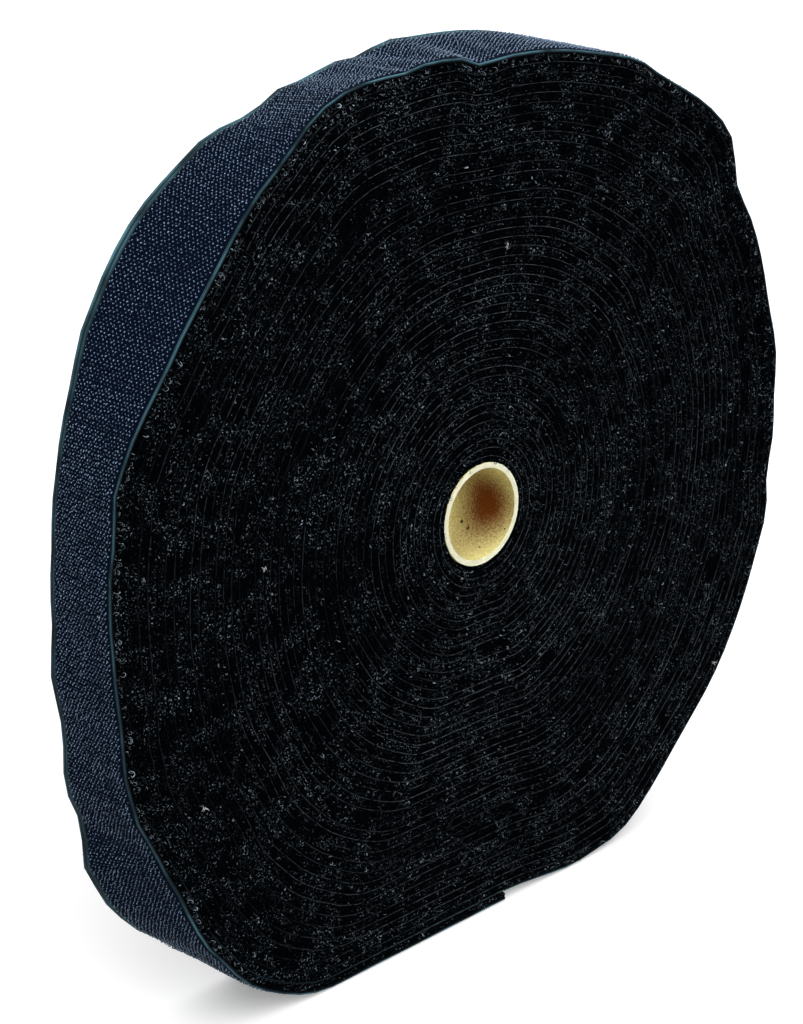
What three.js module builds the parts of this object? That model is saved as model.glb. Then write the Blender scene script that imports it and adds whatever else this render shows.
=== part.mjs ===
// A roll of hook and loop tape on a paperboard core, standing on its rim. Millimetres, +Z up.
// X runs along the open face, Y along the core, and the origin is on the floor below the core's axis.
// The tape is wound with its hooks outwards. Its end lies flat on the floor under the roll.
import * as THREE from 'three';

// Tape: a hook web and a loop web bonded back to back
const TAPE_WIDTH = 25.4;
const SELVEDGE = 1.5;
const HOOK_HEIGHT = 0.55;
const HOOK_GROUND = 0.4;
const BOND_FILM = 0.2;
const LOOP_WEB = 0.95;
const BOND_CLEARANCE = 0.1;
const TURN_GAP = 0.45;
const END_GAP = 0.3;

// Core: a tube of paperboard plies, with an adhesive strip that holds the tape's inner end
const CORE_BORE = 25.4;
const PLY_THICKNESS = 0.42;
const PLY_CLEARANCE = 0.08;
const PLY_NAMES = ['core_inner_ply', 'core_middle_ply', 'core_outer_ply'];
const CORE_SIDES = 36;
const CORE_GAP = 0.6;
const STRIP_THICKNESS = 0.25;
const STRIP_CLEARANCE = 0.1;
const STRIP_WIDTH = 20;
const STRIP_ARC = 40;
const STRIP_STEPS = 5;

// Roll: its mean radius, how far its axis has come down as the soft bottom settled flat, and its turns.
// The turns loosen outwards by a share of the mean pitch, and the lumps fade towards the core.
const ROLL_RADIUS = 127;
const SETTLED = 6.7;
const FLAT_BLEND = 3;
const REAL_TURNS = 45;
const DRAWN_LOOPS = 23;
const LOOSENING = 0.1;
const LUMP_FADE = 3;
const CLIMB_SHARE = 0.25;

// Where the tape ends, and the arc in which the turn above its end comes down to the floor, in degrees
const END_ANGLE = -85;
const DROP_ARC = 14;

// Steps in a loop, the loops near the core that take every second step, and the steps of the tape's end
const LOOP_STEPS = 50;
const COARSE_LOOPS = 10;
const END_STEPS = 4;
const BEND_COUNT = 2;
const GAP_SEARCH = 0.1; // share of a loop, to both sides, in which the gap between two loops is measured

// Crests and hollows of the outermost turn: angle from +X, then the rise over the mean radius
// at the open face (-Y) and at the far face (+Y), as shares of the lumps' height
const LUMP_HEIGHT = 10;
const LUMPS = [
  [-170, -0.10, -0.17],
  [-155, 0.19, 0.42],
  [-149, 0.18, 0.85],
  [-136, 0.83, 0.97],
  [-128, 1.03, 1.05],
  [-114, 0.80, 0.80],
  [-82, 0.50, 0.50],
  [-69, 0.20, 0.20],
  [-61, 0.40, 0.40],
  [-49, 0.18, 0.18],
  [-41, 0.22, 0.22],
  [-27, -0.03, -0.03],
  [-17, 0.11, 0.11],
  [-8, -0.20, -0.20],
  [9, -0.09, -0.09],
  [18, -0.20, -0.20],
  [33, -0.25, -0.25],
  [42, 0.40, 0.40],
  [61, -0.04, -0.04],
  [91, -0.64, -0.35],
  [104, -0.11, -0.30],
  [115, 0.25, -0.15],
  [125, 0.0, 0.34],
  [138, -0.24, 0.55],
  [147, -0.24, 0.46],
  [161, 0.14, -0.05],
  [176, -0.12, -0.32],
];

// Sizes that follow from these
const TAPE = HOOK_HEIGHT + HOOK_GROUND + BOND_FILM + LOOP_WEB + 2 * BOND_CLEARANCE;
const PITCH = TAPE + TURN_GAP;
const HALF_WIDTH = TAPE_WIDTH / 2;
const AXIS_HEIGHT = ROLL_RADIUS - SETTLED;
const PLY_PITCH = PLY_THICKNESS + PLY_CLEARANCE;
const CORE_RADIUS = CORE_BORE / 2 + PLY_NAMES.length * PLY_PITCH - PLY_CLEARANCE;
const FIRST_RADIUS = CORE_RADIUS + CORE_GAP - TURN_GAP;
const TRUE_TURNS = 2; // the outermost two turns are drawn at the tape's own thickness
const INNER_TURNS = REAL_TURNS - TRUE_TURNS;
const INNER_RADIUS = ROLL_RADIUS - TRUE_TURNS * PITCH;
const FULL_CIRCLE = 360;

const { degToRad, lerp, smoothstep, euclideanModulo } = THREE.MathUtils;

// Rise of the outline over the mean radius. Between two rows of LUMPS it eases from one to the other.
function lumpRise(angle, y) {
  const turned = LUMPS[0][0] + euclideanModulo(angle - LUMPS[0][0], FULL_CIRCLE);
  let i = LUMPS.length - 1;
  while (LUMPS[i][0] > turned) i -= 1;
  const [fromAngle, fromFront, fromBack] = LUMPS[i];
  const [toAngle, toFront, toBack] = LUMPS[(i + 1) % LUMPS.length];
  const span = euclideanModulo(toAngle - fromAngle, FULL_CIRCLE);
  const share = smoothstep(turned - fromAngle, 0, span);
  const across = y / TAPE_WIDTH + 0.5;
  const rise = lerp(lerp(fromFront, toFront, share), lerp(fromBack, toBack, share), across);
  return rise * LUMP_HEIGHT;
}

// How much of a turn is missing below a given angle: none at the tape's end, almost one just past it,
// where the turn above the end comes down in an easy curve
function missingTurn(angle) {
  const pastEnd = euclideanModulo(angle - END_ANGLE, FULL_CIRCLE);
  const missing = pastEnd === 0 ? 0 : 1 - pastEnd / FULL_CIRCLE;
  return missing * smoothstep(pastEnd, 0, DROP_ARC);
}

// Share of the winding that a share of the turns fills: the turns lie closer near the core
function filled(share) {
  return (1 - LOOSENING) * share + LOOSENING * share * share;
}

// Radius of a layer, counted in real turns from the core, on the round part of the roll
function layerRadius(layer, angle, y) {
  const rise = lumpRise(angle, y);
  if (layer >= INNER_TURNS) return ROLL_RADIUS + rise - PITCH * (REAL_TURNS - layer);
  const share = layer / INNER_TURNS;
  const round = lerp(FIRST_RADIUS, INNER_RADIUS, filled(share));
  return round + rise * share ** LUMP_FADE;
}

// Height of a layer over the floor on the flat bottom
function layerHeight(layer) {
  if (layer >= INNER_TURNS) return PITCH * (REAL_TURNS - layer);
  const lowest = PITCH * TRUE_TURNS;
  return lerp(AXIS_HEIGHT - FIRST_RADIUS, lowest, filled(layer / INNER_TURNS));
}

// The larger of two heights, with the corner between them eased
function easedMax(a, b, ease) {
  const near = Math.max(0, ease - Math.abs(a - b));
  return Math.max(a, b) + (near > 0 ? (near * near) / (4 * ease) : 0);
}

// A point on a layer, moved inwards by an inset
function layerPoint(layer, angle, inset, y) {
  const whole = Math.min(1, layer / INNER_TURNS);
  const shifted = Math.min(REAL_TURNS, layer + missingTurn(angle) * whole);
  const radius = layerRadius(shifted, angle, y) - inset;
  const height = AXIS_HEIGHT + radius * Math.sin(degToRad(angle));
  const flat = layerHeight(shifted) + inset;
  const z = easedMax(height, flat, (FLAT_BLEND * shifted) / REAL_TURNS);
  return new THREE.Vector3(radius * Math.cos(degToRad(angle)), y, z);
}

// Angle at a place along the tape, counted in drawn loops from its inner end
function loopAngle(loop) {
  return END_ANGLE - FULL_CIRCLE * (DRAWN_LOOPS - loop);
}

// Layer of the tape's inner face. The first loop hugs the core and climbs over its own start at its end.
// The loops inside the outermost two stand for about two turns each.
function innerLayer(loop) {
  const even = DRAWN_LOOPS - 1;
  if (loop > even) return INNER_TURNS + loop - even;
  const climbed = loop < 1 ? smoothstep(loop, 1 - CLIMB_SHARE, 1) : loop;
  return (climbed * INNER_TURNS) / even;
}

// Joins closed sections, lists of points in one order, into a closed body with flat ends.
// Every face across the tape is split along the same diagonal, so that twisted faces nest.
function loft(sections, profile) {
  const corners = profile.length;
  const triangles = [];
  for (let i = 0; i + 1 < sections.length; i += 1) {
    for (let j = 0; j < corners; j += 1) {
      const next = (j + 1) % corners;
      const [a, b] = [i * corners + j, i * corners + next];
      const [c, d] = [b + corners, a + corners];
      if (profile[j].y <= profile[next].y) triangles.push(a, c, b, a, d, c);
      else triangles.push(a, d, b, b, d, c);
    }
  }
  const last = (sections.length - 1) * corners;
  for (const [a, b, c] of THREE.ShapeUtils.triangulateShape(profile, [])) {
    triangles.push(a, b, c, last + a, last + c, last + b);
  }
  const points = sections.flat().flatMap((point) => point.toArray());
  const geometry = new THREE.BufferGeometry();
  geometry.setAttribute('position', new THREE.Float32BufferAttribute(points, 3));
  geometry.setIndex(triangles);
  geometry.computeVertexNormals();
  return geometry;
}

// Moves the first and last section towards their neighbours, so that lengths of tape meet with a gap
function shorten(sections, atStart, atEnd) {
  const moved = (section, next, gap) =>
    section.map((point, j) => point.clone().lerp(next[j], gap / point.distanceTo(next[j])));
  const count = sections.length;
  const first = moved(sections[0], sections[1], atStart);
  const last = moved(sections[count - 1], sections[count - 2], atEnd);
  return [first, ...sections.slice(1, -1), last];
}

// A rectangle across the tape, as [depth below the outer face, y], the way round that loft needs
function band(depth, thickness, halfWidth) {
  const bottom = depth + thickness;
  return [
    new THREE.Vector2(depth, -halfWidth),
    new THREE.Vector2(bottom, -halfWidth),
    new THREE.Vector2(bottom, halfWidth),
    new THREE.Vector2(depth, halfWidth),
  ];
}

// The hook web: a ground of full width, with the hook field between two bare selvedges on its outside
function hookProfile() {
  const [upperNear, lowerNear, lowerFar, upperFar] = band(HOOK_HEIGHT, HOOK_GROUND, HALF_WIDTH);
  const [fieldNear, stemNear, stemFar, fieldFar] = band(0, HOOK_HEIGHT, HALF_WIDTH - SELVEDGE);
  return [fieldNear, stemNear, upperNear, lowerNear, lowerFar, upperFar, stemFar, fieldFar];
}

const FILM_DEPTH = HOOK_HEIGHT + HOOK_GROUND + BOND_CLEARANCE;
const LOOP_DEPTH = FILM_DEPTH + BOND_FILM + BOND_CLEARANCE;
const WEBS = {
  hook_web: hookProfile(),
  bond_film: band(FILM_DEPTH, BOND_FILM, HALF_WIDTH),
  loop_web: band(LOOP_DEPTH, LOOP_WEB, HALF_WIDTH),
};

// One web of the outermost turn, between two steps counted back from the tape's end
function outermostWeb(profile, fromStep, toStep, gapAtFrom, gapAtTo) {
  const sections = [];
  for (let step = toStep; step >= fromStep; step -= 1) {
    const back = step / LOOP_STEPS;
    const angle = loopAngle(DRAWN_LOOPS - back);
    const corner = ({ x: depth, y }) => layerPoint(REAL_TURNS - back, angle, depth, y);
    sections.push(profile.map(corner));
  }
  return loft(shorten(sections, gapAtTo, gapAtFrom), profile);
}

// Places along the wound tape, from the core outwards, in drawn loops
function woundPlaces() {
  const places = [];
  const loops = DRAWN_LOOPS - 1;
  for (let step = 0; step < loops * LOOP_STEPS; step += step < COARSE_LOOPS * LOOP_STEPS ? 2 : 1) {
    places.push(step / LOOP_STEPS);
  }
  return [...places, loops];
}

// One section of the wound tape: outer face, then inner face
function woundSection(loop) {
  const angle = loopAngle(loop);
  const outer = (y) => layerPoint(innerLayer(loop + 1), angle, 0, y);
  const inner = (y) => layerPoint(innerLayer(loop), angle, -TURN_GAP, y);
  return [outer(-HALF_WIDTH), inner(-HALF_WIDTH), inner(HALF_WIDTH), outer(HALF_WIDTH)];
}

// Least gap between the wound tape's inner face and its outer face one loop further in
function leastGap(places, sections) {
  const edge = new THREE.Line3();
  const nearest = new THREE.Vector3();
  let least = Infinity;
  places.forEach((place, i) => {
    for (let j = 0; j + 1 < places.length && places[j] < place - 1 + GAP_SEARCH; j += 1) {
      if (places[j + 1] < place - 1 - GAP_SEARCH) continue;
      for (const [outer, inner] of [[0, 1], [3, 2]]) {
        edge.set(sections[j][outer], sections[j + 1][outer]);
        edge.closestPointToPoint(sections[i][inner], true, nearest);
        least = Math.min(least, nearest.distanceTo(sections[i][inner]));
      }
    }
  });
  return least;
}

function woundTape() {
  const places = woundPlaces();
  const sections = places.map(woundSection);
  console.log(`least gap between turns of the wound tape: ${leastGap(places, sections).toFixed(2)} mm`);
  return loft(shorten(sections, 0, END_GAP / 2), band(0, TAPE, HALF_WIDTH));
}

// A tube round the core's axis, which LatheGeometry turns about Y
function corePly(index) {
  const inner = CORE_BORE / 2 + index * PLY_PITCH;
  const profile = band(inner, PLY_THICKNESS, HALF_WIDTH);
  return new THREE.LatheGeometry([...profile, profile[0]], CORE_SIDES);
}

// The adhesive strip on the core under the first stretch of tape
function startStrip() {
  const outer = CORE_RADIUS + STRIP_CLEARANCE + STRIP_THICKNESS;
  const profile = band(0, STRIP_THICKNESS, STRIP_WIDTH / 2);
  const sections = [];
  for (let step = 0; step <= STRIP_STEPS; step += 1) {
    const angle = degToRad(loopAngle(0) + (STRIP_ARC * step) / STRIP_STEPS);
    const corner = ({ x: depth, y }) => {
      const radius = outer - depth;
      return new THREE.Vector3(radius * Math.cos(angle), y, AXIS_HEIGHT + radius * Math.sin(angle));
    };
    sections.push(profile.map(corner));
  }
  return loft(sections, profile);
}

function material(color, roughness) {
  return new THREE.MeshStandardMaterial({ color, roughness, metalness: 0 });
}

const TAPE_MATERIALS = {
  hook_web: material('#263244', 0.7),
  bond_film: material('#1c2430', 0.6),
  loop_web: material('#11141a', 0.95),
};
const WOUND_MATERIAL = material('#13161d', 0.95);
const CORE_MATERIAL = material('#d9c698', 0.9);
const STRIP_MATERIAL = material('#d8d2b4', 0.6);

function piece(name, geometry, finish) {
  const mesh = new THREE.Mesh(geometry, finish);
  mesh.name = name;
  return mesh;
}

// The three webs of one length of the outermost turn
function tapeLength(name, fromStep, toStep, gapAtFrom, gapAtTo) {
  const group = new THREE.Group();
  for (const [web, profile] of Object.entries(WEBS)) {
    const geometry = outermostWeb(profile, fromStep, toStep, gapAtFrom, gapAtTo);
    group.add(piece(`${name}_${web}`, geometry, TAPE_MATERIALS[web]));
  }
  return group;
}

const HALF_GAP = END_GAP / 2;
const ROLL_STEP = END_STEPS + BEND_COUNT;

const roll = new THREE.Group();
PLY_NAMES.forEach((name, index) => {
  const ply = piece(name, corePly(index), CORE_MATERIAL);
  ply.position.z = AXIS_HEIGHT;
  roll.add(ply);
});
roll.add(piece('start_adhesive_strip', startStrip(), STRIP_MATERIAL));
roll.add(piece('wound_tape', woundTape(), WOUND_MATERIAL));
roll.add(tapeLength('outer_turn', ROLL_STEP, LOOP_STEPS, HALF_GAP, HALF_GAP));

const tapeRoll = new THREE.Group();
tapeRoll.add(roll, tapeLength('tape_end', 0, END_STEPS, 0, HALF_GAP));
for (let bend = 1; bend <= BEND_COUNT; bend += 1) {
  const step = END_STEPS + bend - 1;
  tapeRoll.add(tapeLength(`tape_bend_${bend}`, step, step + 1, HALF_GAP, HALF_GAP));
}

export default tapeRoll;
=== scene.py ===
"""The looks of a roll of hook and loop tape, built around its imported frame. Metres, +Z up."""
import math
from functools import partial

import bpy
import numpy as np
from bpy.props import FloatProperty, FloatVectorProperty, IntProperty, PointerProperty
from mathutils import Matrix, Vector


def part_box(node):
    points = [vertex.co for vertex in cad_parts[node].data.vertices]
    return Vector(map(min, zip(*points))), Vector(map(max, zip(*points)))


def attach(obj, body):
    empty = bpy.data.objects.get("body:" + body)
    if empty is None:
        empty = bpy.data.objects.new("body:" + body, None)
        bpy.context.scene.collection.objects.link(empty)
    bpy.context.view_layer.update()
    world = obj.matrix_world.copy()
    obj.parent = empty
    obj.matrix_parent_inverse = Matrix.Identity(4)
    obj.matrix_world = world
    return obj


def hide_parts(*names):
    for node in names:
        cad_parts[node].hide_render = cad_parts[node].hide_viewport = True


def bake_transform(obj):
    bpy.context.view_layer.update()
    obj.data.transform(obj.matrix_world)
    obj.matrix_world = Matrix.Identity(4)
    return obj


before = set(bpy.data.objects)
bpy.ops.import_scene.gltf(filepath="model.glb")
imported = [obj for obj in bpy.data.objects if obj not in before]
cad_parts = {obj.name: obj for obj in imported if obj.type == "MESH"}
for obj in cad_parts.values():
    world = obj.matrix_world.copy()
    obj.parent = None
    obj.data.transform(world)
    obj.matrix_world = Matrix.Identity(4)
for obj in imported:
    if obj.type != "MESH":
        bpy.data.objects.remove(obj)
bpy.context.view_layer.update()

bl_info = {
    "name": "Hook and loop tape roll",
    "version": (1, 0, 0),
    "blender": (4, 5, 0),
    "location": "3D View > Sidebar > Tape roll",
    "description": "Dresses a roll of hook and loop tape on a paperboard core",
    "category": "Add Mesh",
}

MM = 0.001
FULL_CIRCLE = 360.0
ACROSS = np.array([0.0, 1.0, 0.0])
# The roll's two faces: which way each looks along Y, and its name
FACES = ((-1, "open"), (1, "far"))
# The UV map that colours are baked through, and the share of it that a palette of tones takes
BAKE_MAP = "OFBake"
PALETTE = 0.07

# Crests and hollows of the outermost turn: angle from +X in degrees, then the rise over the mean radius
# at the open face (-Y) and at the far face (+Y), as shares of the lumps' height
LUMPS = (
    (-170, -0.10, -0.17),
    (-155, 0.19, 0.42),
    (-149, 0.18, 0.85),
    (-136, 0.83, 0.97),
    (-128, 1.03, 1.05),
    (-114, 0.80, 0.80),
    (-82, 0.50, 0.50),
    (-69, 0.20, 0.20),
    (-61, 0.40, 0.40),
    (-49, 0.18, 0.18),
    (-41, 0.22, 0.22),
    (-27, -0.03, -0.03),
    (-17, 0.11, 0.11),
    (-8, -0.20, -0.20),
    (9, -0.09, -0.09),
    (18, -0.20, -0.20),
    (33, -0.25, -0.25),
    (42, 0.40, 0.40),
    (61, -0.04, -0.04),
    (91, -0.64, -0.35),
    (104, -0.11, -0.30),
    (115, 0.25, -0.15),
    (125, 0.0, 0.34),
    (138, -0.24, 0.55),
    (147, -0.24, 0.46),
    (161, 0.14, -0.05),
    (176, -0.12, -0.32),
)

# Smaller creases, which only the outer turns have: angle from +X in degrees, then the rise at the open face
# and at the far face in millimetres. The tape's end and its bends have none.
CREASES = (
    (-71, 0.0, 0.0),
    (-62, 1.5, 1.5),
    (-54, 1.3, 1.3),
    (-44, 0.4, 0.4),
    (-28, 2.8, 2.8),
    (-18, 0.9, 0.9),
    (-14, 1.4, 1.4),
    (-10, 0.6, 0.6),
    (-4, 1.3, 1.3),
    (2, 0.1, 0.1),
    (8, 0.7, 0.7),
    (13, 0.0, 0.0),
    (29, 1.3, 1.3),
    (34, 0.6, 0.6),
    (40, 1.0, 1.0),
    (57, 0.4, 0.4),
    (61, 1.0, 1.0),
    (70, -0.6, -0.6),
    (84, 0.4, 0.3),
    (87, 0.7, 0.5),
    (90, -0.3, 0.6),
    (95, 2.0, 1.2),
    (100, 0.6, -0.4),
    (102.5, -0.6, 0.6),
    (104.5, 0.5, 1.1),
    (108, 1.4, 0.4),
    (112, 1.2, 1.5),
    (117, 0.9, 0.5),
    (123, 0.2, 0.8),
    (132, 0.0, 1.1),
    (141, -0.6, 0.5),
    (146, -0.3, 0.1),
    (152, -0.2, -0.6),
    (159, -0.1, 0.7),
    (163.5, 0.8, -0.1),
    (167.5, -0.4, 0.1),
    (172, 0.8, 0.2),
    (176, 0.8, 0.7),
    (181, 0.0, 0.0),
    (188, -0.1, 1.2),
    (191, 0.3, 0.6),
    (195, 1.7, 0.0),
    (197.5, 0.8, 0.8),
    (200, 1.3, 1.0),
    (206, 0.1, 0.2),
    (212, 1.0, 2.1),
    (216, 0.1, 3.3),
    (221, -0.6, 2.8),
    (226, -0.3, 1.4),
    (231, 0.0, 0.0),
)
CREASED_TURNS = 12

# Waves that make the winding uneven: how many in one turn, radians from one turn to the next, phase in
# radians, and height. Slow and quick sway is in layers, and drift to one side in millimetres. In patches more
# fibres catch the light, and in streaks the edge threads lie bare.
SLOW_SWAY = ((3, 0.35, 0, 0.05), (5, -0.28, 1.7, 0.05))
QUICK_SWAY = ((11, 0.45, 0.6, 0.05), (17, -0.33, 2.9, 0.04))
DRIFT = ((0, 2.3, 1, 0.14), (0, 14.5, 0, 0.10), (0, 32, 2, 0.07))
PATCHES = ((3, 0.5, 0, 1), (7, -0.33, 2, 1), (13, 0.9, 0, 1))
STREAKS = ((2, 0.21, 1, 1), (5, -0.37, 0, 1), (0, 1.3, 0, 1))

# The outermost turn in lengths: turns back from the tape's end at which each begins and ends. The last lies
# under the tape's end and is bared as the roll unrolls.
LENGTHS = {
    "tape_end": (0.0, 0.09),
    "tape_bend": (0.09, 0.12),
    "outer_turn": (0.1202, 1.0),
    "under_end": (1.0, 1.2),
}
# How the names of the CAD nodes begin that a length stands for
LENGTH_NODES = {
    "tape_end": ("tape_end",),
    "tape_bend": ("tape_bend_1", "tape_bend_2"),
    "outer_turn": ("outer_turn",),
}
# The joint within a length, with its place in turns back from the tape's end, and BEND_REACH, a reach in
# turns to each side of it.
LENGTH_JOINTS = {"tape_end": ("lay_bend_1", 0.08), "tape_bend": ("lay_bend_2", 0.10)}
BEND_REACH = 0.006

# Hook webs of wound turns are drawn in at their edges, and there a selvedge keeps only a share of its tone,
# as painted shade under the tape that lies over it
DRAWN_IN, IN_THE_DARK = 0.3 * MM, 0.04
# Two rounded ribs in a selvedge: share of its width, depth under the ground in millimetres, and tone
RIBS = (
    (0.0, 0.16, 0.2),
    (0.06, 0.0, 0.5),
    (0.18, -0.12, 1.0),
    (0.3, -0.04, 0.6),
    (0.42, 0.12, 0.1),
    (0.54, 0.12, 0.1),
    (0.64, -0.04, 0.35),
    (0.76, -0.1, 0.5),
    (0.88, 0.0, 0.2),
    (1.0, 0.12, 0.0),
)
# The loop pile's edge: share of its height, and how far it stands out of the tape's edge in millimetres
BULGE = ((0.0, -0.5), (0.2, -0.14), (0.5, 0.02), (0.8, -0.1), (1.0, -0.4))
# Unevenness of that edge, and the layer that the pile reaches down to: among the hooks below, or clear of the
# turn below at the tape's end
PILE_ROUGHNESS = 0.09 * MM
PILE_FOOT, END_PILE_FOOT = -0.32, 0.02

# Filaments, which have three sides: points of each in X and Z, in millimetres
FILAMENT_SIDES = 3
HOOK_PATH = ((-0.18, 0), (-0.16, 0.34), (0.02, 0.54), (0.2, 0.38))
FIBRE_PATH = ((0, 0), (0.04, 0.28), (0.22, 0.5))
LOOP_PATH = ((0, 0), (-0.1, 0.36), (0.1, 0.62), (0.38, 0.56), (0.46, 0.05))
CURL_PATH = (
    *((0, 0), (-0.12, 0.22), (-0.17, 0.48), (-0.1, 0.74), (0.08, 0.95)),
    *((0.33, 1.04), (0.56, 0.96), (0.68, 0.76), (0.64, 0.55), (0.49, 0.43)),
)
# The light that a hook catches: its mean, and what the hook itself, the way it leans, its row, its thread
# along the tape and its height on the roll add
HOOK_TONE = {"mean": 0.62, "hook": 0.2, "lean": 0.06, "row": 0.1, "thread": 0.07, "height": 0.2}

# Dark smudges on the core's inner wall: angle in degrees, place across the tape and radius in millimetres
SMUDGES = (
    (-44.6, 3.4, 0.5),
    (-49.7, 0.2, 0.45),
    (-35.3, -11.4, 0.25),
    (-69.7, -7.7, 0.3),
    (38.0, -7.0, 0.2),
    (150.0, 4.0, 0.4),
    (-120.0, 8.0, 0.3),
)
# Specks of lint, four caught in the pile and one in the hooks: distance from the axis and place across the
# tape in millimetres, angle in degrees, and how many threads
LINT = (
    (72.4, -12.7, 83.5, 9),
    (77.9, -12.7, 174.9, 7),
    (111.0, -12.7, -152.7, 7),
    (126.5, -12.7, -36.3, 5),
    (125.6, -8.1, 176.9, 4),
)


def linear(hex_colour):
    """A hex colour as it is seen, as the linear red, green, blue and alpha that shaders take."""
    parts = [int(hex_colour[i : i + 2], 16) / 255 for i in (1, 3, 5)]
    return (*(c / 12.92 if c <= 0.04045 else ((c + 0.055) / 1.055) ** 2.4 for c in parts), 1.0)


def length(name, description, millimetres):
    """A length that a user can set, in metres, with its default given in millimetres."""
    return FloatProperty(name=name, description=description, default=millimetres * MM, unit="LENGTH")


def colour(name, description, hex_colour):
    """A colour that a user can set."""
    return FloatVectorProperty(
        name=name, description=description, subtype="COLOR", size=4, min=0, max=1, default=linear(hex_colour)
    )


class TapeSizes(bpy.types.PropertyGroup):
    """The tape: a hook web and a loop web bonded back to back."""

    width: FloatProperty(
        name="Width",
        description="Width of the tape across the roll",
        default=(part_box("wound_tape")[1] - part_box("wound_tape")[0]).y,
        unit="LENGTH",
    )
    selvedge: length("Selvedge", "Bare woven edge beside the hook field, on the open face", 0.65)
    far_selvedge: length("Far selvedge", "Bare woven edge beside the hook field, on the far face", 2.2)
    hook_height: length("Hook height", "Height of a hook over the hook web's ground", 0.55)
    hook_ground: length("Hook ground", "Thickness of the hook web's woven ground", 0.4)
    bond_film: length("Bond film", "Thickness of the film between the webs", 0.2)
    loop_web: length("Loop web", "Thickness of the loop web with its pile", 0.95)
    bond_clearance: length("Bond clearance", "Gap to each side of the bond film", 0.1)
    turn_gap: length("Turn gap", "Gap between one turn and the next", 0.45)
    hook_spacing: length("Hook spacing", "Distance between hooks in a row across the tape", 1.15)
    row_spacing: length("Row spacing", "Distance between two rows of hooks", 0.85)
    hook_wire: length("Hook wire", "Thickness of the filament of a hook", 0.24)
    edge_thread: length("Edge thread", "Thickness of the binding thread at the web's edge", 0.12)


class RollSizes(bpy.types.PropertyGroup):
    """The winding: its mean radius, its turns and how it has settled."""

    radius: length("Radius", "Mean radius of the roll", 127.0)
    settled: length("Settled", "How far the axis came down as the bottom settled flat", 6.7)
    flat_blend: length("Flat blend", "Ease between the round and the flat bottom", 3.0)
    lump_height: length("Lump height", "Rise that a share of 1 in the list of lumps stands for", 10.0)
    turns: IntProperty(name="Turns", description="Layers of tape between core and rim", default=45)
    true_turns: IntProperty(name="True turns", description="Outer turns at the full pitch", default=2)
    loosening: FloatProperty(name="Loosening", description="How much looser the outer turns lie", default=0.1)
    lump_fade: FloatProperty(name="Lump fade", description="Power by which lumps fade inwards", default=3.0)
    end_angle: FloatProperty(name="End angle", description="Angle of the tape's end, degrees", default=-85.0)
    drop_arc: FloatProperty(name="Drop arc", description="Arc where a turn drops past the end", default=14.0)
    steps: IntProperty(name="Steps", description="Sections of the tape in one turn", default=120)


class CoreSizes(bpy.types.PropertyGroup):
    """The core: a tube of paperboard plies and a strip that holds the tape's inner end."""

    bore: length("Bore", "Inner diameter of the tube", 25.4)
    ply: length("Ply", "Thickness of one ply", 0.42)
    ply_clearance: length("Ply clearance", "Glue line between two plies", 0.08)
    gap: length("Gap", "Room between the core and the first turn", 0.6)
    strip: length("Strip", "Thickness of the adhesive strip", 0.25)
    strip_clearance: length("Strip clearance", "Gap under the adhesive strip", 0.1)
    strip_width: length("Strip width", "Width of the adhesive strip", 20.0)
    strip_arc: FloatProperty(name="Strip arc", description="Arc that the strip covers, degrees", default=40.0)


class FibreCounts(bpy.types.PropertyGroup):
    """How many loose fibres the loop web's edges carry on each face."""

    ends: IntProperty(name="Fibre ends", description="Standing fibre ends on one face", default=22000)
    loops: IntProperty(name="Fibre loops", description="Standing loops on one face", default=2400)
    curls: IntProperty(name="Curls", description="Long curls beside the outermost turn", default=520)


class RollColours(bpy.types.PropertyGroup):
    """Colours that a user would change."""

    hook_dark: colour("Hook shade", "Hook filament at its foot", "#0A1424")
    # Painted highlight: the hooks' tone mixes towards this colour at their crowns, most near the top of the
    # roll
    hook_painted_highlight: colour("Hook light", "Hook filament at its crown", "#B2D2F8")
    ground_dark: colour("Ground shade", "Hook web's ground between its threads", "#02050B")
    ground_light: colour("Ground light", "Hook web's ground on its threads", "#10213E")
    selvedge_dark: colour("Selvedge shade", "Selvedge between its threads", "#0D181F")
    selvedge_light: colour("Selvedge light", "Selvedge on its threads", "#5F8E9C")
    thread: colour("Edge thread", "Binding thread at the web's edge", "#747C84")
    pile_dark: colour("Pile shade", "Loop pile in its depth", "#010203")
    pile_light: colour("Pile light", "Loop pile on its tips", "#06070A")
    # Painted highlight of the loose fibres and of the strokes in the loop pile
    fibre_painted_highlight: colour("Fibre light", "Lightest loose fibre", "#CDE2F4")
    board_edge: colour("Board edge", "Cut edge of the paperboard", "#FFFFE6")
    board_wall: colour("Board wall", "Inner wall of the tube near its ends", "#FBF0A2")
    # Painted shade of the tube's inner wall, browned deep inside
    board_painted_shade: colour("Board deep", "Inner wall of the tube deep inside", "#703600")
    lint: colour("Lint", "Specks of white lint", "#F2F2EE")


class TapeRollSettings(bpy.types.PropertyGroup):
    """Everything that the roll is made from."""

    tape: PointerProperty(type=TapeSizes)
    roll: PointerProperty(type=RollSizes)
    core: PointerProperty(type=CoreSizes)
    fibres: PointerProperty(type=FibreCounts)
    colours: PointerProperty(type=RollColours)


def eased(value):
    """Smooth step from 0 to 1."""
    value = np.clip(value, 0, 1)
    return value * value * (3 - 2 * value)


def waves(rows, angle, turn):
    """Sum of waves that run round the roll and from turn to turn, at an angle in radians."""
    return sum(height * np.sin(count * angle + per_turn * turn + at) for count, per_turn, at, height in rows)


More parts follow.
